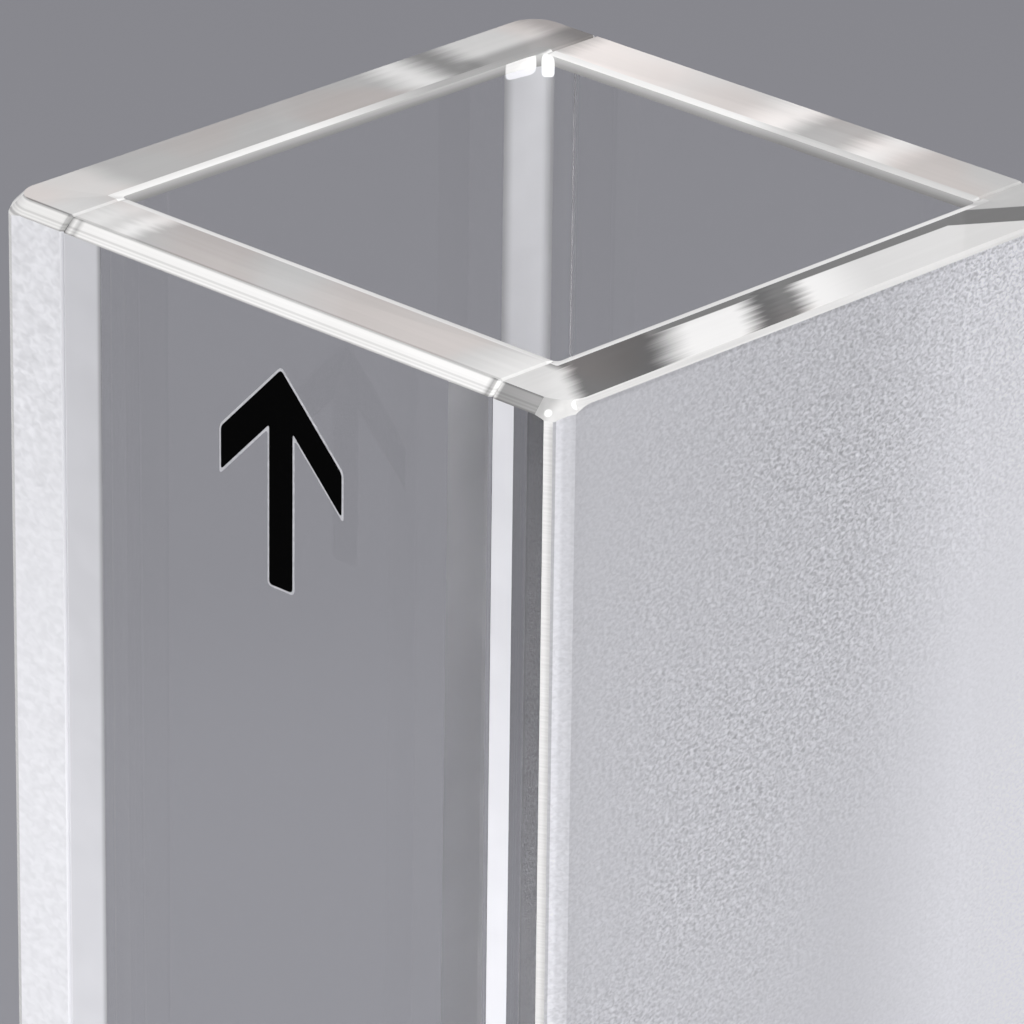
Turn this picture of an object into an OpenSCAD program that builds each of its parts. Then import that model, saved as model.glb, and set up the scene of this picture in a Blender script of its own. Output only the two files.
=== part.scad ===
// Square laboratory cell of fused glass. Two window plates are sealed between
// two side plates, over a closing base plate, and the top is open. Sealing
// makes one solid piece of glass of the plates. The right side plate is ground
// outside, and its upright edges are eased with two flats and a fine land.
// The origin is the centre of the underside; the windows face -Y and +Y,
// the side plates look along -X and +X, and the mouth looks up.

/* [Overall size] */
// Outside width, across the two side plates
cell_w = 12.5; // [10:0.1:16]
// Outside depth, across the two windows
cell_d = 12.5; // [10:0.1:16]
// Outside height
cell_h = 45; // [15:0.5:60]

/* [Plates] */
// Thickness of the front and back window plates
window_t = 1.45; // [1.1:0.05:2.2]
// Thickness of the left and right side plates
side_t = 1.45; // [1.1:0.05:2.2]
// Thickness of the base plate
base_t = 1.5; // [0.9:0.05:4]

/* [Upright edges] */
// Width of the flat that meets the window
window_flat_w = 0.15; // [0.05:0.01:0.25]
// Turn of that flat from the window's plane
window_flat_turn = 25; // [15:1:35]
// Width of the fine land between the two flats
land_w = 0.04; // [0.02:0.01:0.08]
// Width of the flat that meets the side plate
side_flat_w = 0.32; // [0.1:0.01:0.4]
// Turn of that flat from the window's plane
side_flat_turn = 61; // [55:1:75]

/* [Rim and foot] */
// Bevel along the top and bottom edges of the windows
window_bevel = 0.22; // [0.05:0.01:0.3]
// Bevel along the top and bottom edges of the side plates
side_bevel = 0.08; // [0.05:0.01:0.3]
// Radius of the outline of rim and foot at the four corners
corner_r = 0.5; // [0.4:0.05:0.7]
// Width of the lip that eases the rim towards the mouth
lip_w = 0.16; // [0.05:0.01:0.3]
// How far the lip falls over its width
lip_drop = 0.03; // [0.01:0.01:0.06]
// Height of the steep bevel below the lip
mouth_drop = 0.15; // [0.05:0.01:0.3]
// Width of that bevel
mouth_ease = 0.05; // [0.02:0.01:0.1]

/* [Seals] */
// Radius of the glass fillet in three upright corners of the cavity
seal_r = 0.2; // [0.1:0.05:0.8]
// Radius of the fillet in the left back corner, where more glass has run in
wide_seal_r = 0.5; // [0.1:0.05:1]
// Width of the fine groove that a seal leaves where two plates meet
seam_w = 0.1; // [0.06:0.01:0.2]
// Depth of that groove
seam_depth = 0.04; // [0.02:0.01:0.06]

/* [Hidden] */

// How far every cutting shape runs past the glass that it cuts
over = 1;

// Inside of the cell, between the plates
inner_w = cell_w - 2 * side_t;
inner_d = cell_d - 2 * window_t;
wall_h = cell_h - base_t;

// Turn of the fine land, half way round the edge
land_turn = 45;

$fn = 48;

// One window plate, standing on the base between the side plates, with its
// outer face at the front
module window_plate() {
    translate([-inner_w / 2, -cell_d / 2, base_t])
        cube([inner_w, window_t, wall_h]);
}

// One side plate, as deep as the whole cell, with its outer face at the right
module side_plate() {
    translate([cell_w / 2 - side_t, -cell_d / 2, base_t])
        cube([side_t, cell_d, wall_h]);
}

// The base plate, sealed under all four walls
module base_plate() {
    translate([-cell_w / 2, -cell_d / 2, 0])
        cube([cell_w, cell_d, base_t]);
}

// The fillet of glass that fills the right back corner of the cavity
module seal_fillet(r) {
    translate([inner_w / 2 - r, inner_d / 2 - r, base_t])
        linear_extrude(wall_h)
            difference() {
                square(r);
                circle(r = r);
            }
}

// Both mirror images of a shape about the YZ plane
module left_and_right() {
    children();
    mirror([1, 0, 0]) children();
}

// Both mirror images of a shape about the XZ plane
module front_and_back() {
    children();
    mirror([0, 1, 0]) children();
}

// A shape at the rim and its mirror image at the foot
module rim_and_foot() {
    children();
    translate([0, 0, cell_h]) mirror([0, 0, 1]) children();
}

// The plates and fillets, sealed into one square-edged block
module sealed_plates() {
    base_plate();
    front_and_back() window_plate();
    left_and_right() side_plate();
    seal_fillet(seal_r);
    mirror([0, 1, 0]) left_and_right() seal_fillet(seal_r);
    mirror([1, 0, 0]) seal_fillet(wide_seal_r);
}

// The step across a flat of the given width and turn
function across(width, turn) = width * [cos(turn), -sin(turn)];

// The outline of what is taken off an upright edge whose corner is at the
// origin: a flat from the window, the fine land, and a flat to the side plate
module upright_profile() {
    window_flat = across(window_flat_w, window_flat_turn);
    land = across(land_w, land_turn);
    side_flat = across(side_flat_w, side_flat_turn);
    start = [-(window_flat + land + side_flat)[0], 0];
    land_start = start + window_flat;
    land_end = land_start + land;
    polygon([
        start - across(over, window_flat_turn),
        land_start,
        land_end,
        land_end + side_flat + across(over, side_flat_turn),
        [2 * over, 2 * over]
    ]);
}

// The cut that eases the right back upright edge
module upright_cut() {
    translate([cell_w / 2, cell_d / 2, -over])
        linear_extrude(cell_h + 2 * over)
            upright_profile();
}

// A prism that takes a 45 degree bevel off a horizontal edge of the rim, which
// runs along Y at x = reach
module edge_cut(reach, bevel, run) {
    translate([reach, run / 2 + over, cell_h])
        rotate([90, 0, 0])
            linear_extrude(run + 2 * over)
                polygon([
                    [-bevel - over, over],
                    [over, -bevel - over],
                    [over, over]
                ]);
}

// What rounds the right back corner of the rim: the bevels go on round it as
// part of a cone
module corner_cut() {
    to_side = side_bevel + corner_r;
    to_window = window_bevel + corner_r;
    cone_r = norm([to_side, to_window]);
    translate([cell_w / 2 - to_side, cell_d / 2 - to_window, cell_h + corner_r - cone_r])
        difference() {
            cube([to_side + over, to_window + over, cone_r]);
            cylinder(r1 = cone_r, r2 = 0, h = cone_r);
        }
}

// The rounded and bevelled outline of rim and foot
module outline_cut() {
    rim_and_foot() {
        left_and_right() edge_cut(cell_w / 2, side_bevel, cell_d);
        front_and_back() rotate([0, 0, 90]) edge_cut(cell_d / 2, window_bevel, cell_w);
        left_and_right() front_and_back() corner_cut();
    }
}

// A prism along Y with the section of the mouth: straight up, the steep
// bevel, then the lip
module mouth_prism(half_gap, run) {
    bevel_z = cell_h - lip_drop - mouth_drop;
    lip_z = cell_h - lip_drop;
    lip_x = half_gap + mouth_ease;
    slope = lip_drop / lip_w;
    right = [
        [half_gap, bevel_z],
        [lip_x, lip_z],
        [lip_x + lip_w + over, cell_h + over * slope],
        [lip_x + lip_w + over, cell_h + over]
    ];
    left = [for (i = [len(right) - 1 : -1 : 0]) [-right[i][0], right[i][1]]];
    translate([0, run / 2, 0])
        rotate([90, 0, 0])
            linear_extrude(run)
                polygon(concat(right, left));
}

// The four-sided mouth, where a prism along X and one along Y cross
module mouth_cut() {
    intersection() {
        mouth_prism(inner_w / 2, cell_d + 2 * over);
        rotate([0, 0, 90]) mouth_prism(inner_d / 2, cell_w + 2 * over);
    }
}

// A long V groove along Z, cut into a face that looks along -Y at y = 0
module seam_groove(run) {
    linear_extrude(run)
        polygon([
            [-seam_w / 2 - seam_w, -2 * seam_depth],
            [seam_w / 2 + seam_w, -2 * seam_depth],
            [0, seam_depth]
        ]);
}

// The grooves of one upright seal, where the right side plate meets the front
// window: down the window's face, and across the rim as far as the lip
module upright_seam_cut() {
    translate([inner_w / 2, -cell_d / 2, base_t])
        seam_groove(wall_h + over);
    translate([inner_w / 2, -cell_d / 2 - over, cell_h])
        rotate([-90, 0, 0])
            seam_groove(window_t + over - lip_w - mouth_ease);
}

// The groove of the base seal along one face, at y = -reach
module base_seam_cut(reach, run) {
    translate([-run / 2 - over, -reach, base_t])
        rotate([0, 90, 0])
            seam_groove(run + 2 * over);
}

// The whole cell: one solid piece of glass
module cuvette() {
    color([0.86, 0.90, 0.92, 0.45])
        difference() {
            sealed_plates();
            outline_cut();
            left_and_right() front_and_back() upright_cut();
            mouth_cut();
            left_and_right() front_and_back() upright_seam_cut();
            front_and_back() base_seam_cut(cell_d / 2, cell_w);
            left_and_right() rotate([0, 0, 90]) base_seam_cut(cell_w / 2, cell_d);
        }
}

cuvette();
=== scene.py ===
"""Looks of a square laboratory cell of fused glass: its polished windows and
rim, its ground side, the seals between its plates and its printed arrow, in a
plain studio."""

import math

import bmesh
import bpy
from bpy.props import FloatProperty, FloatVectorProperty, PointerProperty
from mathutils import Matrix, Vector


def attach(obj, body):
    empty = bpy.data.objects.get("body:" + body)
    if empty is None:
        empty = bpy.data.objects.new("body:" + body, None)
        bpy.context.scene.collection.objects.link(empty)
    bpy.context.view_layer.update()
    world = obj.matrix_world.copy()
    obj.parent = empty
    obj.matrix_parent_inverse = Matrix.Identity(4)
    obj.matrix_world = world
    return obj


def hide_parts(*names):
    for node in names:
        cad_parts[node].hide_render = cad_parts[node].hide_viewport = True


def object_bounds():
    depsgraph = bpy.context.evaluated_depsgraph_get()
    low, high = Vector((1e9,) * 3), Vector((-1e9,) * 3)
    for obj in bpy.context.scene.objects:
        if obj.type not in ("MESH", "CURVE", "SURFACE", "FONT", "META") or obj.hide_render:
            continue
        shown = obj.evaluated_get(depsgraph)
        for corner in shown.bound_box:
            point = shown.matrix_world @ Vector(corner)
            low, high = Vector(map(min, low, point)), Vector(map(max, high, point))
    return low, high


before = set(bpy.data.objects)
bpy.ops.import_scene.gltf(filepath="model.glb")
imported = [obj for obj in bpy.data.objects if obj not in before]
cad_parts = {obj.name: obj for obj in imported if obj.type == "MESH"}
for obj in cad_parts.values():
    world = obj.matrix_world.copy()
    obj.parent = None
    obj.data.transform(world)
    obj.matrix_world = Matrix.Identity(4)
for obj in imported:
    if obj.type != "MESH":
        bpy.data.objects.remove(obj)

bl_info = {
    "name": "Laboratory Cell",
    "version": (1, 0, 0),
    "blender": (4, 5, 0),
    "location": "View3D > Sidebar > Cell",
    "description": "Builds a square glass laboratory cell around its packed solid",
    "category": "Object",
}

MM = 0.001
CELL_LOW, CELL_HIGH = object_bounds()
HALF_WIDTH = CELL_HIGH.x
HALF_DEPTH = CELL_HIGH.y
HEIGHT = CELL_HIGH.z
UP = Vector((0, 0, 1))

TINY = 1e-7  # metres. What is nearer than this is the same place.
HAIR = 0.01 * MM  # keeps a groove clear of the inside of a wall
PRINT_BED = 0.001 * MM  # how deep the back of the print lies in the glass
FACETS = 8  # in each rounded corner of the cell
PRINT_FACETS = 3  # in each rounded corner of the print
SHARP_ANGLE = 12  # degrees. A sharper edge isn't smoothed.

# How far a face's normal points along an axis
TILTED, MOSTLY, STRAIGHT = 0.01, 0.5, 0.999

# Material slots of the cell body, in order. Each wall has a rim of its own.
POLISHED, PLATE_END, GROUND, END, BEVEL, FRONT_BEVEL, CORNER, THROAT = range(8)
SEAL, FILLET, GROOVE, RIM_FRONT, RIM_BACK, RIM_LEFT, RIM_RIGHT = range(8, 15)

# The three flats that ease an upright edge, as (degrees from the window's
# normal, place from the corner in chamfers, finish). The last is a hairline.
EDGE_FLATS = (
    (61, (0.0, -1.06), GROUND),
    (25, (-0.91, 0.0), BEVEL),
    (45, (-0.52714, -0.18), GROUND),
)
# The share of their radius that the cavity's corners keep at the mouth
MOUTH_ROUND, LIP_ROUND = 0.5, 0.4


def length(name, description, default):
    """A length property with its default in millimetres."""
    return FloatProperty(
        name=name, description=description, default=default * MM, min=0.0, unit="LENGTH"
    )


def share(name, description, default):
    """A property between 0 and 1."""
    return FloatProperty(
        name=name, description=description, default=default, min=0.0, max=1.0, subtype="FACTOR"
    )


def tint(name, description, default):
    """A colour property."""
    return FloatVectorProperty(
        name=name, description=description, default=default, size=3, min=0.0, max=1.0,
        subtype="COLOR",
    )


class CellShape(bpy.types.PropertyGroup):
    """Sizes of the glass cell"""

    wall: length("Wall", "Thickness of the windows and side plates", 1.45)
    base: length("Base", "Thickness of the base plate", 1.5)
    chamfer: length("Chamfer", "Easing of the upright edges, along each face", 0.35)
    window_bevel: length("Window Bevel", "Bevel of rim and foot on the windows", 0.22)
    side_bevel: length("Side Bevel", "Bevel of rim and foot on the side faces", 0.08)
    corner_round: length("Corner Round", "Radius of the rim's outline at the corners", 0.5)
    mouth_drop: length("Mouth Drop", "Height of the bevel inside the mouth", 0.15)
    mouth_ease: length("Mouth Ease", "Width of the bevel inside the mouth", 0.05)
    lip: length("Lip", "Width of the eased edge between rim and mouth", 0.16)
    lip_drop: length("Lip Drop", "How far the eased edge falls", 0.03)
    seal_radius: length("Seal Radius", "Fillet in the upright corners of the cavity", 0.2)
    wide_seal_x: length("Wide Seal X", "Reach of the left back fillet along the back wall", 0.3)
    wide_seal_y: length("Wide Seal Y", "Reach of the left back fillet along the left wall", 0.9)
    outer_band: length("Outer Band", "Milky band beside the left front seal", 0.95)
    end_band: length("End Band", "Milky band beside the right front seal", 0.5)
    seam_width: length("Seam Width", "Width of the groove at a seal", 0.1)
    seam_depth: length("Seam Depth", "Depth of the groove at a seal", 0.04)


class CellFinish(bpy.types.PropertyGroup):
    """Colours and clearness of the cell's finishes"""

    glass: tint("Glass", "Colour of the clear glass", (1.0, 1.0, 1.0))
    ground: tint("Ground", "Colour of the ground face", (0.80, 0.80, 0.83))
    end: tint("End", "Colour of the left plate's finely ground end", (0.83, 0.83, 0.85))
    edge: tint("Edge", "Colour of rims and bevels", (0.93, 0.92, 0.90))
    seal: tint("Seal", "Colour of the milky seals", (0.97, 0.97, 1.0))
    ground_clear: share("Ground Clearness", "How much of the light ground faces pass", 0.3)
    rim_clear: share("Rim Clearness", "How much of the light the rim passes", 0.15)
    bevel_clear: share("Bevel Clearness", "How much of the light the bevels pass", 0.15)
    seal_clear: share("Seal Clearness", "How much of the light the seals pass", 0.03)


class ArrowShape(bpy.types.PropertyGroup):
    """Sizes and colours of the printed arrow"""

    centre: FloatProperty(
        name="Centre", description="Place across the window", default=0.26 * MM, unit="LENGTH"
    )
    foot: length("Foot", "Height of the arrow's lower end", 40.17)
    tall: length("Tall", "Height of the arrow", 3.72)
    wide: length("Wide", "Width of the arrow's head", 2.7)
    stroke: length("Stroke", "Width of its strokes", 0.52)
    corner: length("Corner", "Rounding of its corners", 0.06)
    outline: length("Outline", "Pale outline that shows round the ink", 0.04)
    thickness: length("Thickness", "How far the ink stands off the glass", 0.012)
    ink: tint("Ink", "Colour of the ink", (0.001, 0.001, 0.001))
    pale: tint("Pale", "Colour of the outline", (0.5, 0.5, 0.52))


class Studio(bpy.types.PropertyGroup):
    """Look of the surroundings"""

    grey: tint("Grey", "Colour of the surroundings", (0.246, 0.246, 0.265))


# ------------ mesh work ------------


def put_in_scene(name, data):
    """A new object in the scene."""
    made = bpy.data.objects.new(name, data)
    bpy.context.scene.collection.objects.link(made)
    return made


def shape_object(name, bm, materials):
    """A new object in the scene with the shape of a bmesh, which is freed."""
    mesh = bpy.data.meshes.new(name)
    bm.to_mesh(mesh)
    bm.free()
    for material in materials:
        mesh.materials.append(material)
    return put_in_scene(name, mesh)


def link_piece(name, bm, materials):
    """Turns a bmesh into a piece that rides with the cell."""
    piece = shape_object(name, bm, materials)
    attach(piece, "root")
    return piece


def score(bm, point, normal, off=False):
    """Draws a line round the mesh where it crosses a plane. What lies beyond
    may be cut off. Returns the line."""
    everything = bm.verts[:] + bm.edges[:] + bm.faces[:]
    cut = bmesh.ops.bisect_plane(
        bm, geom=everything, dist=TINY, plane_co=point, plane_no=normal, clear_outer=off
    )
    return [e for e in cut["geom_cut"] if isinstance(e, bmesh.types.BMEdge)]


def slice_off(bm, point, normal, finish):
    """Cuts off what lies beyond a plane and closes the cut with one face."""
    line = score(bm, point, normal, off=True)
    for face in bmesh.ops.contextual_create(bm, geom=line)["faces"]:
        face.material_index = finish


def round_off(bm, parts, radius, facets, affect):
    """Rounds edges, or the corners of a flat shape."""
    bmesh.ops.bevel(
        bm, geom=parts, offset=radius, offset_type="OFFSET", segments=facets, profile=0.5,
        affect=affect, material=-1, clamp_overlap=True,
    )


def level_out(angle):
    """A level direction, turned from +Y towards +X by an angle in radians."""
    return Vector((math.sin(angle), math.cos(angle), 0))


def rim_reach(shape, out):
    """How far the rounded outline of the rim reaches in a level direction."""
    radius = shape.corner_round
    centre_x = HALF_WIDTH - shape.side_bevel - radius
    centre_y = HALF_DEPTH - shape.window_bevel - radius
    return centre_x * abs(out.x) + centre_y * abs(out.y) + radius


def block(bm, shape):
    """The outside of the cell: a square column with its edges eased."""
    bmesh.ops.create_cube(bm, size=1.0)
    bmesh.ops.scale(bm, vec=(2 * HALF_WIDTH, 2 * HALF_DEPTH, HEIGHT), verts=bm.verts)
    bmesh.ops.translate(bm, vec=(0, 0, HEIGHT / 2), verts=bm.verts)
    corner = Vector((HALF_WIDTH, HALF_DEPTH, 0))
    quarters = [Vector((x, y, 1)) for x in (-1, 1) for y in (-1, 1)]
    for turn, chamfers, finish in EDGE_FLATS:
        point = corner + Vector((*chamfers, 0)) * shape.chamfer
        out = level_out(math.radians(turn))
        for quarter in quarters:
            slice_off(bm, point * quarter, out * quarter, finish)
    for step in range(4 * FACETS):
        out = level_out(math.tau * step / (4 * FACETS))
        reached = out * rim_reach(shape, out)
        slice_off(bm, reached + UP * HEIGHT, (out + UP).normalized(), BEVEL)
        slice_off(bm, reached, (out - UP).normalized(), BEVEL)


def widen(bm, edges, rise, out, tighter, finish):
    """Draws a ring of faces from an open loop, up and outwards. Its rounded
    corners keep only a share of their radius. Returns the ring's new edge."""
    grown = bmesh.ops.extrude_edge_only(bm, edges=edges)["geom"]
    moved = [g for g in grown if isinstance(g, bmesh.types.BMVert)]
    gap_x = max(v.co.x for v in moved)
    gap_y = max(v.co.y for v in moved)
    for v in moved:
        side_x, side_y = math.copysign(1, v.co.x), math.copysign(1, v.co.y)
        v.co.x = side_x * (gap_x + out) + tighter * (v.co.x - side_x * gap_x)
        v.co.y = side_y * (gap_y + out) + tighter * (v.co.y - side_y * gap_y)
        v.co.z += rise
    for face in [g for g in grown if isinstance(g, bmesh.types.BMFace)]:
        face.material_index = finish
    return [e for e in bm.edges if e.is_boundary]


def fillet_seals(bm, shape):
    """Rounds the upright corners of the cavity. The left back one is wide, and
    reaches less far along the back wall than along the left wall."""
    uprights = [e for e in bm.edges if abs(e.verts[0].co.z - e.verts[1].co.z) > TINY]
    wider = [e for e in uprights if e.verts[0].co.x < 0 < e.verts[0].co.y]
    others = [e for e in uprights if e not in wider]
    round_off(bm, others, shape.seal_radius, FACETS, "EDGES")
    round_off(bm, wider, shape.wide_seal_y, FACETS, "EDGES")
    corner = Vector((shape.wall - HALF_WIDTH, HALF_DEPTH - shape.wall, 0))
    reach = shape.wide_seal_y + TINY
    rounded = [v for v in bm.verts if v.co.x < corner.x + reach and v.co.y > corner.y - reach]
    bmesh.ops.scale(
        bm, vec=(shape.wide_seal_x / shape.wide_seal_y, 1.0, 1.0),
        space=Matrix.Translation(-corner), verts=rounded,
    )


def cavity(shape):
    """The inside of the cell: an open box with filleted upright corners, a
    steep bevel at the mouth and an eased lip above it."""
    bm = bmesh.new()
    bmesh.ops.create_cube(bm, size=1.0)
    wide, deep = 2 * (HALF_WIDTH - shape.wall), 2 * (HALF_DEPTH - shape.wall)
    tall = HEIGHT - shape.base - shape.mouth_drop - shape.lip_drop
    bmesh.ops.scale(bm, vec=(wide, deep, tall), verts=bm.verts)
    bmesh.ops.translate(bm, vec=(0, 0, shape.base + tall / 2), verts=bm.verts)
    fillet_seals(bm, shape)
    lid = [f for f in bm.faces if f.normal.z > STRAIGHT]
    bmesh.ops.delete(bm, geom=lid, context="FACES_ONLY")
    edges = [e for e in bm.edges if e.is_boundary]
    edges = widen(bm, edges, shape.mouth_drop, shape.mouth_ease, MOUTH_ROUND, THROAT)
    widen(bm, edges, shape.lip_drop, shape.lip, LIP_ROUND, BEVEL)
    return bm


def top_faces(bm):
    """The level faces at the cell's full height."""
    level = [f for f in bm.faces if f.normal.z > STRAIGHT]
    return [f for f in level if f.calc_center_median().z > HEIGHT - TINY]


def hollow(bm, shape):
    """Opens the top of the block and lets the cavity in."""
    top = top_faces(bm)
    rim_outside = list(dict.fromkeys(e for f in top for e in f.edges))
    bmesh.ops.delete(bm, geom=top, context="FACES_ONLY")
    inner = cavity(shape)
    spare = bpy.data.meshes.new("cavity")
    inner.to_mesh(spare)
    inner.free()
    before = set(bm.edges)
    bm.from_mesh(spare)
    bpy.data.meshes.remove(spare)
    mouth = [e for e in bm.edges if e not in before and e.is_boundary]
    bmesh.ops.triangle_fill(bm, edges=rim_outside + mouth, use_beauty=True, normal=UP)
    bmesh.ops.recalc_face_normals(bm, faces=bm.faces)
    for face in top_faces(bm):
        face.material_index = RIM_FRONT


def base_seam(shape):
    """The height of the groove where the walls meet the base plate."""
    return shape.base - HAIR


def seam_places(shape):
    """Where the middles of the seam grooves lie along X, left and right. Each
    keeps a hair clear of the plates' inner faces."""
    wall_x = HALF_WIDTH - shape.wall
    return (-wall_x + shape.seam_width / 2 + HAIR, wall_x + HAIR)


def from_seam(x, shape):
    """How far a place along X is from the middle of the nearer seam."""
    return min(abs(x - seam) for seam in seam_places(shape))


def in_seam(x, shape):
    """Whether a place along X is inside the groove of a seam."""
    return from_seam(x, shape) < shape.seam_width / 2


def band_edges(shape):
    """Where the milky bands beside the front seals end, left and right."""
    wall_x = HALF_WIDTH - shape.wall
    return (-wall_x + shape.outer_band, wall_x + shape.end_band)


def score_seams(bm, shape):
    """Draws the edges and the middle of each groove, and where the milky bands
    beside the front seals end."""
    for step in (-0.5, 0.5, 0.0):
        score(bm, (0, 0, base_seam(shape) + step * shape.seam_width), UP)
        for seam in seam_places(shape):
            score(bm, (seam + step * shape.seam_width, 0, 0), (1, 0, 0))
    for x in band_edges(shape):
        score(bm, (x, 0, 0), (1, 0, 0))


def sink(v, axis, depth):
    """Moves a vertex towards the middle of the cell along X or Y."""
    v.co[axis] -= math.copysign(depth, v.co[axis])


def groove_seams(bm, shape):
    """Sinks a fine V groove where each window meets a side plate, and one
    round the cell where the walls meet the base plate."""
    score_seams(bm, shape)
    for v in bm.verts:
        if abs(v.co.z - base_seam(shape)) < TINY:
            for axis, half in enumerate((HALF_WIDTH, HALF_DEPTH)):
                if abs(v.co[axis]) > half - TINY:
                    sink(v, axis, shape.seam_depth)
        if from_seam(v.co.x, shape) > TINY or v.co.z < shape.base:
            continue
        if abs(v.co.y) > HALF_DEPTH - shape.window_bevel - TINY:
            sink(v, 1, shape.seam_depth)
        if v.co.z > HEIGHT - TINY:
            v.co.z -= shape.seam_depth


def groove_finish(n, c, shape):
    """The finish of a face inside a groove, or None if it lies elsewhere."""
    if in_seam(c.x, shape) and abs(n.x) > TILTED:
        if c.y < -HALF_DEPTH + shape.seam_depth:
            return SEAL if c.x < 0 else POLISHED
        if c.y > HALF_DEPTH - shape.seam_depth and n.y > MOSTLY:
            return GROOVE
    if shape.window_bevel < c.z < shape.base + shape.seam_width:
        if abs(n.z) > TILTED and abs(n.y) > MOSTLY:
            return GROOVE
    return None


def rim_finish(c, shape):
    """The rim over the wall that a face of the rim lies on."""
    left_seam, right_seam = seam_places(shape)
    if c.x > right_seam:
        return RIM_RIGHT
    if c.x < left_seam:
        return RIM_LEFT
    return RIM_BACK if c.y > 0 else RIM_FRONT


def front_bevel_finish(n, c, shape):
    """The finish of a bevel at the front of the rim, which is ground where it
    turns to the right."""
    if n.x > TILTED and not in_seam(c.x, shape):
        return CORNER
    if n.y < -MOSTLY or in_seam(c.x, shape):
        return FRONT_BEVEL
    return BEVEL


def front_finish(c, shape):
    """The finish of the flat front: the left plate's end, a milky band beside
    each seal with the window between, and the right plate's end."""
    left_seam, right_seam = seam_places(shape)
    left_band, right_band = band_edges(shape)
    if c.x < left_seam:
        return END
    if c.x < left_band or right_seam + shape.seam_width / 2 < c.x < right_band:
        return SEAL
    return PLATE_END if c.x > right_band else POLISHED


def on_wide_fillet(n, c, shape):
    """Whether a face belongs to the wide fillet in the left back corner."""
    beside = shape.wall - HALF_WIDTH + shape.wide_seal_x
    behind = HALF_DEPTH - shape.wall - shape.wide_seal_y
    turned = n.x > TILTED and n.y < -TILTED and abs(n.z) < TILTED
    return turned and c.x < beside and c.y > behind


def finish_of(face, shape):
    """The finish of a face of the cell, from the one it was made with and
    from where it lies."""
    n, c, made = face.normal, face.calc_center_median(), face.material_index
    if made == THROAT:
        return made
    in_groove = groove_finish(n, c, shape)
    if in_groove is not None:
        return in_groove
    rim_groove = n.z > MOSTLY and c.z > HEIGHT - shape.seam_depth and made != BEVEL
    if made == RIM_FRONT or rim_groove:
        return rim_finish(c, shape)
    at_front = n.y < -TILTED and c.y < -HALF_DEPTH + shape.corner_round
    if made == BEVEL and n.z > TILTED and at_front:
        return front_bevel_finish(n, c, shape)
    if n.x > STRAIGHT and c.x > HALF_WIDTH - HAIR:
        return GROUND
    if n.y < -STRAIGHT and c.y < -HALF_DEPTH + HAIR:
        return front_finish(c, shape)
    return FILLET if on_wide_fillet(n, c, shape) else made


def make_body(shape, finishes):
    """The glass cell as one closed piece, with its finishes."""
    bm = bmesh.new()
    block(bm, shape)
    hollow(bm, shape)
    groove_seams(bm, shape)
    bm.normal_update()
    for face in bm.faces:
        face.material_index = finish_of(face, shape)
        face.smooth = True
    body = link_piece("cell_body", bm, finishes)
    body.data.set_sharp_from_angle(angle=math.radians(SHARP_ANGLE))
    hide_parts("cuvette")


def grown_outline(corners, grow):
    """The corners of an outline that runs anticlockwise, with each of its
    sides moved outwards."""
    grown = []
    for i, corner in enumerate(corners):
        before = (corner - corners[i - 1]).normalized()
        after = (corners[(i + 1) % len(corners)] - corner).normalized()
        outs = Vector((before.y + after.y, -before.x - after.x))
        grown.append(corner + outs * grow / (1 + before.dot(after)))
    return grown


def printed_arrow(arrow, grow):
    """The flat shape of the arrow on the window, pointing up, as a bmesh."""
    bm = bmesh.new()
    top, half_wide, half_stroke = arrow.tall, arrow.wide / 2, arrow.stroke / 2
    arm = arrow.stroke * math.sqrt(2)
    right = [
        Vector((half_stroke, 0.0)),
        Vector((half_stroke, top - arm - half_stroke)),
        Vector((half_wide, top - arm - half_wide)),
        Vector((half_wide, top - half_wide)),
    ]
    left = [Vector((-corner.x, corner.y)) for corner in reversed(right)]
    outline = grown_outline([*right, Vector((0.0, top)), *left], grow)
    corners = [bm.verts.new((corner.x, 0, corner.y)) for corner in outline]
    sides = [bm.edges.new(pair) for pair in zip(corners, [*corners[1:], corners[0]])]
    bmesh.ops.contextual_create(bm, geom=sides)
    round_off(bm, bm.verts[:], arrow.corner + grow / 2, PRINT_FACETS, "VERTICES")
    return bm


def make_print(name, arrow, grow, thickness, material):
    """One layer of the printed arrow, as a thin closed slab on the window."""
    bm = printed_arrow(arrow, grow)
    place = (arrow.centre, -HALF_DEPTH + PRINT_BED, arrow.foot)
    bmesh.ops.translate(bm, vec=place, verts=bm.verts)
    grown = bmesh.ops.extrude_face_region(bm, geom=bm.faces[:], use_keep_orig=True)["geom"]
    lifted = [g for g in grown if isinstance(g, bmesh.types.BMVert)]
    bmesh.ops.translate(bm, vec=(0, -thickness, 0), verts=lifted)
    bmesh.ops.recalc_face_normals(bm, faces=bm.faces)
    link_piece(name, bm, [material])


# ------------ shader nodes ------------


def feed(socket, value):
    """Links an output to a socket, or sets a plain value on it."""
    if isinstance(value, bpy.types.NodeSocket):
        socket.id_data.links.new(value, socket)
    else:
        socket.default_value = value


def node_beside(kind, *values):
    """A new node in the tree of the first output among some values."""
    outputs = [value for value in values if isinstance(value, bpy.types.NodeSocket)]
    return outputs[0].id_data.nodes.new(kind)


def math_node(operation, *values):
    """A Math node. Each value is a number or an output, and one is an output."""
    node = node_beside("ShaderNodeMath", *values)
    node.operation = operation
    for socket, value in zip(node.inputs, values):
        feed(socket, value)
    return node.outputs["Value"]


def plus(first, second):
    """The sum of two values."""
    return math_node("ADD", first, second)


def minus(first, second):
    """What is left of one value when another is taken away."""
    return math_node("SUBTRACT", first, second)


def times(first, *others):
    """The product of two or more values."""
    for other in others:
        first = math_node("MULTIPLY", first, other)
    return first


def highest(first, *others):
    """The highest of two or more values."""
    for other in others:
        first = math_node("MAXIMUM", first, other)
    return first


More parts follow.
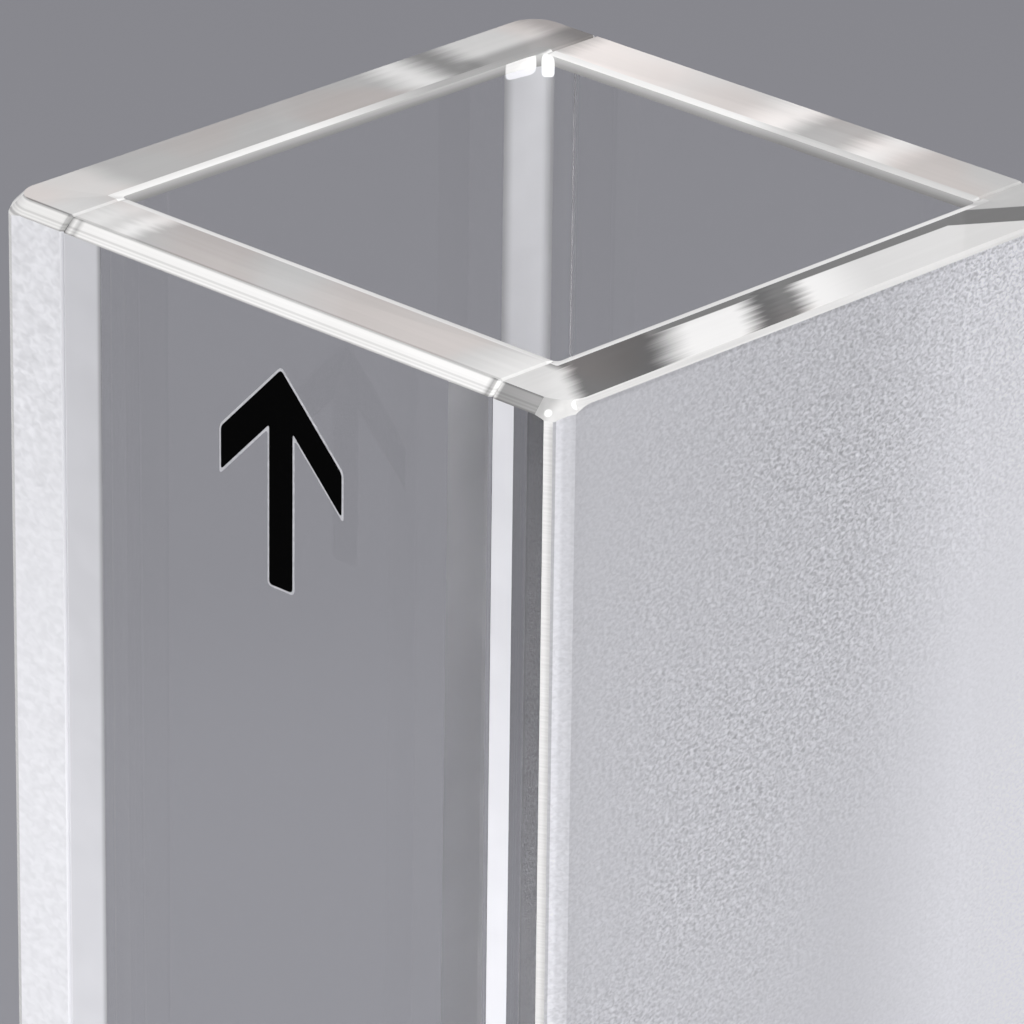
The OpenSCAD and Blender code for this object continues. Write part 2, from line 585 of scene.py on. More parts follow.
def vector_node(operation, first, second=None):
    """A Vector Math node. Each value is a vector or an output, and for SCALE
    the second is a number or an output."""
    node = node_beside("ShaderNodeVectorMath", first, second)
    node.operation = operation
    feed(node.inputs[0], first)
    if second is not None:
        feed(node.inputs["Scale" if operation == "SCALE" else 1], second)
    return node.outputs["Value" if operation in ("LENGTH", "DISTANCE") else "Vector"]


def remap(value, low, high, out_low=0.0, out_high=1.0):
    """Maps low..high to out_low..out_high with soft ends."""
    node = node_beside("ShaderNodeMapRange", value)
    node.interpolation_type = "SMOOTHSTEP"
    feed(node.inputs["Value"], value)
    sockets = ("From Min", "From Max", "To Min", "To Max")
    for socket, number in zip(sockets, (low, high, out_low, out_high)):
        feed(node.inputs[socket], number)
    return node.outputs["Result"]


def place_of(tree):
    """The object's own coordinates, as a vector and as X, Y and Z."""
    place = tree.nodes.new("ShaderNodeTexCoord")
    parts = tree.nodes.new("ShaderNodeSeparateXYZ")
    feed(parts.inputs["Vector"], place.outputs["Object"])
    return place.outputs["Object"], parts.outputs


def fade(place, axis, ends, tones=(0.0, 1.0)):
    """A value that goes softly from one tone to another between two ends along
    an axis, in millimetres. Along Z they count from the rim, negative below."""
    start = HEIGHT if axis == "Z" else 0.0
    return remap(place[axis], start + ends[0] * MM, start + ends[1] * MM, *tones)


def thin_line(value, middle, width, darkest):
    """1 everywhere but in a thin line round the middle value, which is darker."""
    away = math_node("ABSOLUTE", minus(value, middle))
    return remap(away, width * 0.25, width, darkest, 1.0)


def tone_along(coordinate, tones):
    """A tone that changes along X or Y, from (millimetres, tone) pairs."""
    ramp = node_beside("ShaderNodeValToRGB", coordinate)
    ramp.color_ramp.interpolation = "EASE"
    from_end = plus(coordinate, HALF_WIDTH)
    feed(ramp.inputs["Fac"], math_node("DIVIDE", from_end, 2 * HALF_WIDTH))
    stops = ramp.color_ramp.elements
    while len(stops) < len(tones):
        stops.new(0.5)
    for stop, (millimetres, tone) in zip(stops, tones):
        stop.position = (millimetres * MM + HALF_WIDTH) / (2 * HALF_WIDTH)
        stop.color = (tone, tone, tone, 1.0)
    return ramp.outputs["Color"]


def noise_node(vector, scale, detail, distortion=0.0):
    """A Noise Texture. Its scale is a number or an output."""
    noise = node_beside("ShaderNodeTexNoise", vector)
    feed(noise.inputs["Vector"], vector)
    feed(noise.inputs["Scale"], scale)
    noise.inputs["Detail"].default_value = detail
    noise.inputs["Distortion"].default_value = distortion
    return noise.outputs["Fac"]


# ------------ shader groups ------------

# How densely the pits of a ground surface lie along X, Y and Z
PIT_DENSITY = (0.7, 0.7, 1.0)
PATCH_SCALE = 300
# Painted highlights, bright ovals at the top of the wide fillet, in millimetres:
# middle (X + Y) and half width across the corner, middle below the rim and half
# height
FAR_HIGHLIGHTS = ((-0.505, 0.39, 0.13, 0.19), (0.145, 0.165, 0.2, 0.19))
OVAL_POWER = 4.0  # 2 is an ellipse, and more is squarer


def new_group(name, inputs, outputs):
    """A group of shader nodes with plain number sockets, and its two ends."""
    group = bpy.data.node_groups.new(name, "ShaderNodeTree")
    sockets = group.interface
    for socket, value in inputs.items():
        made = sockets.new_socket(name=socket, in_out="INPUT", socket_type="NodeSocketFloat")
        made.default_value = value
    for socket in outputs:
        sockets.new_socket(name=socket, in_out="OUTPUT", socket_type="NodeSocketFloat")
    return group, group.nodes.new("NodeGroupInput"), group.nodes.new("NodeGroupOutput")


def use_group(tree, group, **values):
    """Places a group in a material with its own values."""
    node = tree.nodes.new("ShaderNodeGroup")
    node.node_tree = group
    for socket, value in values.items():
        feed(node.inputs[socket.replace("_", " ")], value)
    return node.outputs


def grain_group():
    """Fine pits of a ground surface, almost half as wide again as they are
    high, and stronger in some patches than in others. Tone is near 1 and
    Height goes to a bump."""
    inputs = {"Scale": 8500, "Contrast": 1.0}
    group, start, end = new_group("ground_grain", inputs, ("Tone", "Height"))
    vector, _ = place_of(group)
    widened = vector_node("MULTIPLY", vector, PIT_DENSITY)
    pits = noise_node(widened, start.outputs["Scale"], detail=0.3, distortion=0.6)
    patches = remap(noise_node(vector, PATCH_SCALE, detail=1.0), 0.35, 0.65, 0.7, 1.0)
    depth = times(start.outputs["Contrast"], patches)
    swing = times(minus(pits, 0.5), depth)
    feed(end.inputs["Tone"], plus(swing, 1.0))
    feed(end.inputs["Height"], swing)
    return group


def streak_group():
    """Fine streaks, as in a drawn or melted edge: long where there are few
    features to the metre and thin where there are many. Streak is 0 to 1, and
    Tone goes from Dimmest to Brightest with it."""
    inputs = {
        "X Features": 200, "Y Features": 9000, "Z Features": 0,
        "Dimmest": 0.95, "Brightest": 1.0,
    }
    group, start, end = new_group("fine_streaks", inputs, ("Streak", "Tone"))
    vector, _ = place_of(group)
    stretch = group.nodes.new("ShaderNodeCombineXYZ")
    for axis in "XYZ":
        feed(stretch.inputs[axis], start.outputs[f"{axis} Features"])
    stretched = vector_node("MULTIPLY", vector, stretch.outputs["Vector"])
    streak = noise_node(stretched, 1.0, detail=2.0)
    tone = remap(streak, 0.3, 0.7, start.outputs["Dimmest"], start.outputs["Brightest"])
    feed(end.inputs["Streak"], streak)
    feed(end.inputs["Tone"], tone)
    return group


def polish_group():
    """The faint unevenness that polishing leaves: a trace of haze and a very
    shallow wave."""
    group, start, end = new_group("faint_polish", {"Haze": 0.02}, ("Roughness", "Height"))
    vector, _ = place_of(group)
    cloud = remap(noise_node(vector, 260, detail=2.0), 0.45, 0.7)
    feed(end.inputs["Roughness"], times(cloud, start.outputs["Haze"]))
    feed(end.inputs["Height"], noise_node(vector, 500, detail=1.0))
    return group


def highlights_group():
    """The two painted highlights, bright ovals at the top of the left back corner.
    Spot is 1 inside them and 0 round them, and fades beyond Reach from the corner."""
    group, start, end = new_group("corner_highlights", {"Reach": 3 * MM}, ("Spot",))
    vector, place = place_of(group)
    across = plus(place["X"], place["Y"])
    reach = start.outputs["Reach"]
    level = vector_node("MULTIPLY", vector, (1.0, 1.0, 0.0))
    away = vector_node("DISTANCE", level, (-HALF_WIDTH, HALF_DEPTH, 0.0))
    near = remap(away, reach, plus(reach, 1 * MM), 1.0, 0.0)
    ovals = []
    for middle, half_wide, below, half_tall in FAR_HIGHLIGHTS:
        sideways = minus(across, middle * MM)
        upwards = minus(place["Z"], HEIGHT - below * MM)
        parts = [
            math_node("POWER", math_node("DIVIDE", part, half * MM), OVAL_POWER)
            for part, half in ((sideways, half_wide), (upwards, half_tall))
        ]
        ovals.append(remap(plus(*parts), 0.6, 1.1, 1.0, 0.0))
    feed(end.inputs["Spot"], times(near, highest(*ovals)))
    return group


# ------------ materials ------------

GLASS_IOR = 1.458  # fused silica
LET_IN = 0.9  # share of the lamps' light that passes clear glass straight on
POLISH_WAVE = 0.0004 * MM  # height of the waves in a polished face
# The front bevel's share is painted shade.
FRONT_BEVEL_SHADE, GROOVE_DIM = 0.88, 0.95  # shares of their glass's colour

# Steps in the ground face's tone towards its upright edges, painted highlights
# on the eased edges and a hairline of painted shade, as (millimetres from the
# edge where it starts, where it is full, tone)
GROUND_EDGE_LIGHT_AND_SHADE = ((0.34, 0.28, 1.09), (0.22, 0.15, 1.2), (0.1, 0.092, 0.6))

# Painted highlights and shade on the front bevel along X, as (place in
# millimetres, tone)
FRONT_BEVEL_LIGHT_AND_SHADE = [
    (-6.2, 0.95), (-4.85, 0.92), (-4.77, 0.4), (-4.7, 0.4), (-4.6, 0.95), (-4.5, 0.6), (-4.4, 0.98),
    (4.6, 1.0), (4.7, 0.45), (4.8, 1.0), (4.86, 0.95), (4.92, 0.35), (5.75, 0.4), (6.0, 0.5),
]
# Fine lines of painted shade along the front bevel, as (millimetres below the
# rim, width, tone)
FRONT_BEVEL_SHADED_LINES = ((0.0, 0.03, 0.6), (0.13, 0.02, 0.8), (0.17, 0.015, 0.88), (0.22, 0.03, 0.6))

# How many streaks there are to the metre on the bevels
BEVEL_STREAKS = {"X_Features": 150, "Y_Features": 150, "Z_Features": 25000}
FRONT_BEVEL_STREAKS = {"X_Features": 120, "Y_Features": 120, "Z_Features": 30000}

# Painted highlights at the near corner of the rim, as places in millimetres
CORNER_HIGHLIGHTS = ((5.95, -6.2, 44.88), (6.2, -5.8, 44.96))

# Painted reflections and shade on the rim along each wall, as (place in
# millimetres, tone)
RIM_REFLECTIONS_AND_SHADE = {
    "rim_front": [(-4.8, 0.8), (-4.3, 0.88), (-4.0, 0.78), (-3.65, 0.95), (-3.2, 0.54), (0.0, 0.62),
                  (3.6, 0.7), (4.8, 0.9)],
    "rim_back": [(-4.8, 0.6), (-4.2, 1.0), (-0.8, 0.73), (0.2, 1.0), (0.9, 0.5), (1.5, 0.53),
                 (2.2, 0.95), (3.2, 0.62)],
    "rim_left": [(-6.0, 0.76), (-4.8, 0.72), (-4.0, 0.5), (1.6, 0.48), (2.4, 0.8), (3.2, 0.27),
                 (4.0, 0.7), (5.2, 0.7), (5.9, 0.4)],
    "rim_right": [(-6.0, 0.8), (-5.45, 0.85), (-5.0, 0.17), (-3.6, 0.12), (-2.55, 1.0), (-1.6, 1.0),
                  (-0.95, 0.14), (-0.4, 0.2), (0.2, 1.0), (1.6, 0.78), (3.2, 0.8), (4.2, 0.8)],
}
# Tone of the shadow along the front edge of these rims
RIM_EDGE_SHADOWS = {"rim_front": 0.75, "rim_left": 0.4}

# The band of painted shade inside the right wall's rim: its tone, how it leans
# along the wall, and how steeply it turns outwards before the back wall
SHADE_BAND_TONE, BAND_LEAN, BAND_TURN = 0.2, 0.016, 0.65

# Warm patches: their colour as shares of the clean one, and their scale
WARM_SHARES = (1.01, 0.95, 0.93)
WARM_SCALE = 450
# Places of the colour sockets of a Mix node
MIX_FACTOR, MIX_A, MIX_B, MIX_RESULT = 0, 6, 7, 2


def new_material(name, colour, clear, roughness):
    """A new material, its tree and its shader, which is like glass."""
    material = bpy.data.materials.new(name)
    material.use_nodes = True
    shader = material.node_tree.nodes["Principled BSDF"]
    shader.inputs["Base Color"].default_value = (*colour, 1.0)
    shader.inputs["Transmission Weight"].default_value = clear
    shader.inputs["Roughness"].default_value = roughness
    shader.inputs["IOR"].default_value = GLASS_IOR
    return material, material.node_tree, shader


def shade(shader, colour, *tones):
    """Gives the shader a colour, plain or an output, times some tones."""
    shaded = vector_node("SCALE", colour, times(*tones))
    feed(shader.inputs["Base Color"], shaded)


def raise_bump(shader, height, distance, strength=1.0):
    """Lets a height raise the surface by a distance."""
    bump = node_beside("ShaderNodeBump", height)
    bump.inputs["Distance"].default_value = distance
    bump.inputs["Strength"].default_value = strength
    feed(bump.inputs["Height"], height)
    feed(shader.inputs["Normal"], bump.outputs["Normal"])


def let_light_in(shader):
    """Lets most of the lamps' light through clear glass, straight on, so that
    what lies behind or under it isn't in full shadow."""
    path = shader.id_data.nodes.new("ShaderNodeLightPath")
    passed = times(path.outputs["Is Shadow Ray"], LET_IN)
    feed(shader.inputs["Alpha"], minus(1.0, passed))


def polished_material(colour, polish):
    """Clear glass with a trace of haze, for the windows and the inside."""
    material, tree, shader = new_material("polished_glass", colour, clear=1.0, roughness=0.0)
    unevenness = use_group(tree, polish, Haze=0.015)
    feed(shader.inputs["Roughness"], unevenness["Roughness"])
    raise_bump(shader, unevenness["Height"], POLISH_WAVE)
    let_light_in(shader)
    return material


def plate_end_material(colour, polish):
    """The right plate's polished front end. Its colour is darkened near the rim
    and beside the seal: painted shade for the darker glass that it looks into."""
    material, tree, shader = new_material("plate_end_glass", colour, clear=1.0, roughness=0.0)
    _, place = place_of(tree)
    # Painted shade: darker near the rim and beside the seal.
    shaded_near_rim = fade(place, "Z", (-9.5, -4), (0.81, 0.53))
    shade_beside_seal = fade(place, "X", (5.50, 5.56), (0.86, 1.0))
    shade(shader, colour, shaded_near_rim, shade_beside_seal)
    raise_bump(shader, use_group(tree, polish)["Height"], POLISH_WAVE)
    return material


def ground_roughness(place):
    """How strongly the ground face's pits show: most in a band that slants
    from the middle of the rim down to the front."""
    down = minus(HEIGHT, place["Z"])
    rising = plus(place["Y"], times(down, 0.2))
    falling = plus(place["Y"], times(down, 0.75))
    in_front = remap(rising, -5.5 * MM, 0, 0.38, 1.35)
    behind = remap(falling, 3 * MM, 9.5 * MM, 1.0, 0.2)
    return times(in_front, behind)


def ground_material(colour, clear, grain):
    """The ground face: fine worm-like pits on glass, with painted light that makes
    it lighter towards the back and the foot. The eased edges are lighter with
    painted highlights, with a dim hairline of painted shade, and a thin line of
    painted shade under the rim is darker."""
    material, tree, shader = new_material("ground_glass", colour, clear, roughness=0.6)
    _, place = place_of(tree)
    pits = use_group(tree, grain, Scale=18500, Contrast=ground_roughness(place))
    # Painted light: lighter towards the back and the foot.
    lit_to_back = fade(place, "Y", (0, 5), (0.815, 1.12))
    lit_to_foot = fade(place, "Z", (-12, 0), (1.09, 1.0))
    from_middle = math_node("ABSOLUTE", place["Y"])
    # Painted highlights on the eased edges, and a hairline of painted shade.
    steps = []
    for inner, outer, tone in GROUND_EDGE_LIGHT_AND_SHADE:
        start, full = HALF_DEPTH - inner * MM, HALF_DEPTH - outer * MM
        steps.append(remap(from_middle, start, full, 1.0, tone))
    # Painted shade: a thin darker line under the rim.
    shade_under_rim = thin_line(place["Z"], HEIGHT - 0.12 * MM, 0.05 * MM, 0.85)
    shade(shader, colour, pits["Tone"], lit_to_back, lit_to_foot, *steps, shade_under_rim)
    raise_bump(shader, pits["Height"], 0.02 * MM, 0.5)
    return material


def end_material(colour, grain):
    """The left plate's front end, ground more evenly than the ground face.
    Towards the rim it is rougher, and painted shade makes it dimmer."""
    material, tree, shader = new_material("end_glass", colour, clear=0.0, roughness=0.5)
    _, place = place_of(tree)
    rough = fade(place, "Z", (-8, 0), (0.22, 0.5))
    pits = use_group(tree, grain, Scale=9000, Contrast=rough)
    # Painted shade: dimmer towards the rim.
    shade(shader, colour, pits["Tone"], fade(place, "Z", (-12, 0), (1.0, 0.87)))
    raise_bump(shader, pits["Height"], 0.01 * MM, 0.4)
    return material


def lost_on_bevels(place):
    """The light that is lost: on the left wall backwards, on the right upright
    edges towards the side, on the right rim's bevel, and on the right half of
    the back lip."""
    on_left = fade(place, "X", (-4.85, -4.75), (1.0, 0.0))
    backwards = fade(place, "Y", (-1, 3), (0.0, 0.55))
    to_side = fade(place, "X", (5.97, 6.06), (0.05, 0.28))
    shade_under_rim = fade(place, "Z", (-0.4, -0.25), (1.0, 0.0))
    on_right = fade(place, "X", (6.1, 6.16), (0.0, 0.2))
    past_mouth = fade(place, "Y", (4.6, 4.75))
    before_rim = fade(place, "Y", (5.3, 5.5), (1.0, 0.0))
    right_half = fade(place, "X", (-0.4, 0.8), (0.0, 0.3))
    return highest(
        times(on_left, backwards), times(to_side, shade_under_rim), on_right,
        times(past_mouth, before_rim, right_half),
    )


def bevel_material(colour, clear, streaks):
    """Bevels and lips, which are bright and finely streaked. Painted shade takes
    away the light that is lost on parts of them.
    """
    material, tree, shader = new_material("bevel_glass", colour, clear, roughness=0.15)
    _, place = place_of(tree)
    streak = use_group(tree, streaks, **BEVEL_STREAKS, Dimmest=0.9)
    # Painted shade: the light lost on parts of the bevels comes off the tone.
    shade(shader, colour, minus(streak["Tone"], lost_on_bevels(place)))
    return material


def front_bevel_material(colour, clear, streaks):
    """The bevel over the front window: bright, with painted highlights and shade
    along it, fine lines of painted shade, and grey with painted shade where it
    crosses the right side plate."""
    material, tree, shader = new_material("front_bevel", colour, clear, roughness=0.15)
    _, place = place_of(tree)
    # Painted highlights and shade along X, and fine lines of painted shade.
    tones = [tone_along(place["X"], FRONT_BEVEL_LIGHT_AND_SHADE)]
    for below, width, darkest in FRONT_BEVEL_SHADED_LINES:
        tones.append(thin_line(place["Z"], HEIGHT - below * MM, width * MM, darkest))
    streak = use_group(tree, streaks, **FRONT_BEVEL_STREAKS, Dimmest=0.94)
    shade(shader, colour, *tones, streak["Tone"])
    return material


def corner_material(colour, clear, grain):
    """The bevel round the corner of the two ground edges: fine ground, in painted
    shade that lightens towards the side, with a painted highlight at each end."""
    material, tree, shader = new_material("corner_bevel", colour, clear, roughness=0.3)
    vector, place = place_of(tree)
    # Painted shade, lighter towards the side, and a painted highlight at each end.
    tone = fade(place, "X", (5.85, 6.05), (0.42, 0.68))
    for spot in CORNER_HIGHLIGHTS:
        away = vector_node("DISTANCE", vector, [millimetres * MM for millimetres in spot])
        tone = highest(tone, remap(away, 0.08 * MM, 0.13 * MM, 1.0, 0.0))
    pits = use_group(tree, grain, Scale=9000, Contrast=0.3)
    shade(shader, colour, pits["Tone"], tone)
    return material


def throat_material(colour, clear, streaks, spots):
    """The steep bevel inside the mouth: dim with painted shade, but for two
    painted highlights at the top of the wide fillet."""
    material, tree, shader = new_material("throat_glass", colour, clear, roughness=0.2)
    _, place = place_of(tree)
    # Painted shade: darker further down and towards the right.
    to_rim = fade(place, "Z", (-0.18, -0.03), (0.3, 0.55))
    to_right = fade(place, "X", (-0.4, 0.8), (1.0, 0.8))
    tone = highest(times(to_rim, to_right), use_group(tree, spots)["Spot"])
    streak = use_group(tree, streaks, **BEVEL_STREAKS, Dimmest=0.95)
    shade(shader, colour, tone, streak["Tone"])
    return material


def seal_material(colour, clear, grain):
    """The milky glass beside the two front seals, with painted shade: lighter
    towards the foot, and the left one darker, but for its groove, which is
    painted as lit. The left one fades towards the window."""
    material, tree, shader = new_material("seal_glass", colour, clear, roughness=0.35)
    pits = use_group(tree, grain, Scale=1500, Contrast=0.12)
    _, place = place_of(tree)
    # Painted shade: darker towards the rim, and darker on the left but for its groove.
    left = fade(place, "Z", (-15, 0), (0.76, 0.585))
    right = fade(place, "Z", (-12, 0), (1.0, 0.74))
    in_groove = fade(place, "X", (-4.69, -4.66), (0.6, 0.0))
    share_right = highest(fade(place, "X", (-1, 1)), in_groove)
    more = times(minus(right, left), share_right)
    thinning = fade(place, "X", (-3.97, -3.85), (0.0, 0.3))
    thinning = times(thinning, minus(1.0, share_right))
    shade(shader, colour, pits["Tone"], minus(plus(left, more), thinning))
    return material


def fillet_material(colour, clear, grain, spots):
    """The milky fillet in the left back corner, which fades to both sides and has
    two painted highlights at its top. Painted shade makes it darker near the rim
    and lighter towards the foot. Seen through a window it doesn't fade, and
    painted shade makes it much dimmer than from the mouth."""
    material, tree, shader = new_material("fillet_glass", colour, clear, roughness=0.35)
    pits = use_group(tree, grain, Scale=1500, Contrast=0.12)
    _, place = place_of(tree)
    # Painted shade: darker near the rim, lighter towards the foot.
    shaded_near_rim = fade(place, "Z", (-6, 0), (0.82, 0.58))
    lit_to_foot = fade(place, "Z", (-17, -8), (1.1, 1.0))
    path = tree.nodes.new("ShaderNodeLightPath")
    through = remap(path.outputs["Transmission Depth"], 0.0, 1.0)
    across = plus(place["X"], place["Y"])
    left_side = remap(across, -0.95 * MM, -0.62 * MM, 0.5, 1.0)
    right_side = remap(across, 0.0, 0.32 * MM, 1.0, 0.5)
    sides = highest(times(left_side, right_side), through)
    tone = times(shaded_near_rim, lit_to_foot, sides)
    tone = highest(tone, use_group(tree, spots)["Spot"])
    # Painted shade: much dimmer seen through a window, more so to the right and nearer the rim.
    to_right = remap(across, -0.9 * MM, 0.3 * MM, 0.31, 0.47)
    further_down = fade(place, "Z", (-9.5, -6.5), (1.0, 1.3))
    dimmed = times(to_right, further_down, through)
    shade(shader, colour, pits["Tone"], tone, minus(1.0, dimmed))
    return material


def groove_material(colour, grain):
    """The grooves at the back seals and at the base: clear but unpolished."""
    material, tree, shader = new_material("groove_glass", colour, clear=1.0, roughness=0.5)
    shade(shader, colour, use_group(tree, grain, Scale=9000, Contrast=0.1)["Tone"])
    return material


def painted_shade_band(place):
    """The highest tone of the right wall's rim: a band of painted shade inside,
    which turns outwards before the back wall, and 1 elsewhere."""
    across = minus(place["X"], times(place["Y"], BAND_LEAN))
    sides = []
    for turn in (3.7 * MM, 3.98 * MM):
        beyond = highest(minus(place["Y"], turn), 0.0)
        sides.append(minus(across, times(beyond, BAND_TURN)))
    outside = remap(sides[0], 5.19 * MM, 5.22 * MM, SHADE_BAND_TONE, 1.0)
    inside = remap(sides[1], 4.62 * MM, 4.68 * MM, 0.6, SHADE_BAND_TONE)
    before = fade(place, "Y", (-5.3, -4.9), (1.0, SHADE_BAND_TONE))
    return highest(before, outside, inside)


def warm_patches(colour, vector):
    """A colour that is a little warmer in slow patches."""
    mix = node_beside("ShaderNodeMix", vector)
    mix.data_type = "RGBA"
    patches = remap(noise_node(vector, WARM_SCALE, detail=1.0), 0.42, 0.62)
    feed(mix.inputs[MIX_FACTOR], patches)
    warm = [part * kept for part, kept in zip(colour, WARM_SHARES)]
    mix.inputs[MIX_A].default_value = (*colour, 1.0)
    mix.inputs[MIX_B].default_value = (*warm, 1.0)
    return mix.outputs[MIX_RESULT]


def frayed_place(name, along, place, streak):
    """Where along its wall a part of the rim takes its painted reflection and
    shade. It swings with the streaks, so that the light and dark stretches fray.
    On the right wall they fray more behind the near corner, and slant."""
    fray = 0.4 * MM
    if name == "rim_right":
        fray = fade(place, "Y", (-4.6, -3.6), (0.3 * MM, 0.8 * MM))
        slant = times(minus(place["X"], 5.5 * MM), 0.7)
        along = plus(along, slant)
    return plus(along, times(minus(streak, 0.5), fray))


def rim_shadows(name, place):
    """The tones of the shadows that a wall's rim has: one along the front
    edge, and on the left wall one towards the mouth near the back."""
    tones = []
    if name == "rim_left":
        inwards = fade(place, "X", (-5.5, -5.2), (0.0, 0.45))
        at_back = fade(place, "Y", (3.2, 3.6))
        tones.append(minus(1.0, times(inwards, at_back)))
    if name in RIM_EDGE_SHADOWS:
        tones.append(fade(place, "Y", (-6.0, -5.96), (RIM_EDGE_SHADOWS[name], 1.0)))
    return tones


def rim_material(name, colour, clear, streaks, polish):
    """The flat of the rim over one wall: soft light and dark stretches, painted
    reflections and shade, whose ends fray into streaks along the wall."""
    material, tree, shader = new_material(name, colour, clear, roughness=0.05)
    vector, place = place_of(tree)
    axis, across = ("X", "Y") if name in ("rim_front", "rim_back") else ("Y", "X")
    features = {f"{axis}_Features": 150, f"{across}_Features": 7000}
    streak = use_group(tree, streaks, **features, Dimmest=0.98, Brightest=1.01)
    along = frayed_place(name, place[axis], place, streak["Streak"])
    # Painted reflections and shade along the wall.
    tone = tone_along(along, RIM_REFLECTIONS_AND_SHADE[name])
    if name == "rim_right":
        # Painted shade in a band inside the right wall's rim.
        tone = math_node("MINIMUM", tone, painted_shade_band(place))
    shadows = rim_shadows(name, place)
    warmed = warm_patches(colour, vector)
    shade(shader, warmed, tone, *shadows, streak["Tone"])
    raise_bump(shader, use_group(tree, polish)["Height"], 0.001 * MM)
    return material


def ink_material(name, colour, grain):
    """Dull printed ink with a fine grain."""
    material, tree, shader = new_material(name, colour, clear=0.0, roughness=0.6)
    shader.inputs["Specular IOR Level"].default_value = 0.02
    pits = use_group(tree, grain, Scale=12000, Contrast=0.5)
    shade(shader, colour, pits["Tone"])
    raise_bump(shader, pits["Height"], 0.002 * MM)
    return material


# ------------ studio ------------

FLOOR_SIZE = 1.5  # metres, from the middle to each side
# A patch of painted light round the cell.
PAINTED_LIGHT_ON_FLOOR = (75 * MM, 90 * MM, 1.07, 1.0)  # a patch round the cell: from, to, tones
FLOOR_ENDS = (0.14, 0.4)  # metres from the cell where it turns into surroundings
FLOOR_ROUGHNESS = 0.9

# name: azimuth, elevation, distance, width, height, radiance
LAMPS = {
    "right_box": (80, 30, 0.5, 0.3, 0.4, 6.0),
    "left_box": (-5, 35, 0.5, 0.3, 0.4, 6.0),
    "back_box": (223, 50, 0.6, 0.4, 0.3, 2.0),
}

# Where the camera stands, in degrees, and what it aims at
CAMERA_AZIMUTH, CAMERA_ELEVATION, CAMERA_ROLL = 43.949, 23.349, 0.731
CAMERA_DISTANCE, AIM_BELOW_RIM, AIM_LEFT = 133.883 * MM, 5.492 * MM, 0.529 * MM
FOCAL_LENGTH, FILM_WIDTH = 288.62, 36  # millimetres, as the camera wants them


def set_surroundings(grey):
    """Surrounds the cell with one plain colour."""
    world = bpy.data.worlds.new("studio")
    world.use_nodes = True
    world.node_tree.nodes["Background"].inputs["Color"].default_value = (*grey, 1.0)
    bpy.context.scene.world = world


def floor_material(grey):
    """The floor, with a patch of painted light round the cell. Far off it takes
    the colour of the surroundings, so that no horizon shows."""
    material, tree, shader = new_material("floor", grey, clear=0.0, roughness=FLOOR_ROUGHNESS)
    shader.inputs["Specular IOR Level"].default_value = 0.0
    vector, _ = place_of(tree)
    distance = vector_node("LENGTH", vector)
    near = remap(distance, *FLOOR_ENDS, 1.0, 0.0)
    # Painted light: a lighter patch round the cell.
    shade(shader, grey, remap(distance, *PAINTED_LIGHT_ON_FLOOR), near)
    path = tree.nodes.new("ShaderNodeLightPath")
    kinds = ("Is Camera Ray", "Is Glossy Ray", "Is Transmission Ray")
    seen = highest(*(path.outputs[kind] for kind in kinds))
    far = times(minus(1.0, near), seen)
    feed(shader.inputs["Emission Color"], vector_node("SCALE", grey, far))
    shader.inputs["Emission Strength"].default_value = 1.0
    return material


def lay_floor(grey):
    """Lays a wide floor under the cell."""
    bm = bmesh.new()
    bmesh.ops.create_grid(bm, x_segments=1, y_segments=1, size=FLOOR_SIZE)
    floor = shape_object("floor", bm, [floor_material(grey)])


def heading(azimuth, elevation):
    """Unit vector towards an azimuth (0 is -Y, 90 is +X) and an elevation."""
    a, e = math.radians(azimuth), math.radians(elevation)
    return Vector((math.sin(a) * math.cos(e), -math.cos(a) * math.cos(e), math.sin(e)))


def hang_lamps():
    """Hangs the soft lamps round the rim, turned towards it."""
    for name, (azimuth, elevation, distance, wide, tall, radiance) in LAMPS.items():
        lamp = bpy.data.lights.new(name, "AREA")
        lamp.shape = "RECTANGLE"
        lamp.size, lamp.size_y = wide, tall
        lamp.energy = radiance * math.pi * wide * tall
        out = heading(azimuth, elevation)
        holder = put_in_scene(name, lamp)
        holder.location = UP * HEIGHT + out * distance
        holder.rotation_mode = "QUATERNION"
        holder.rotation_quaternion = out.to_track_quat("Z", "Y")


def place_camera():
    """Sets up a long lens that looks down on the near edge of the rim."""
    back = heading(CAMERA_AZIMUTH, CAMERA_ELEVATION)
    right = heading(CAMERA_AZIMUTH + 90, 0)
    up = back.cross(right)
    aim = UP * (HEIGHT - AIM_BELOW_RIM) - right * AIM_LEFT
    camera = bpy.data.cameras.new("camera")
    camera.lens = FOCAL_LENGTH
    camera.sensor_width = FILM_WIDTH
    camera.clip_start, camera.clip_end = 0.01, 10
    holder = put_in_scene("camera", camera)
    roll = Matrix.Rotation(math.radians(CAMERA_ROLL), 3, "Z")
    turn = Matrix((right, up, back)).transposed() @ roll
    holder.matrix_world = Matrix.Translation(aim + back * CAMERA_DISTANCE) @ turn.to_4x4()
    bpy.context.scene.camera = holder


# ------------ operators ------------


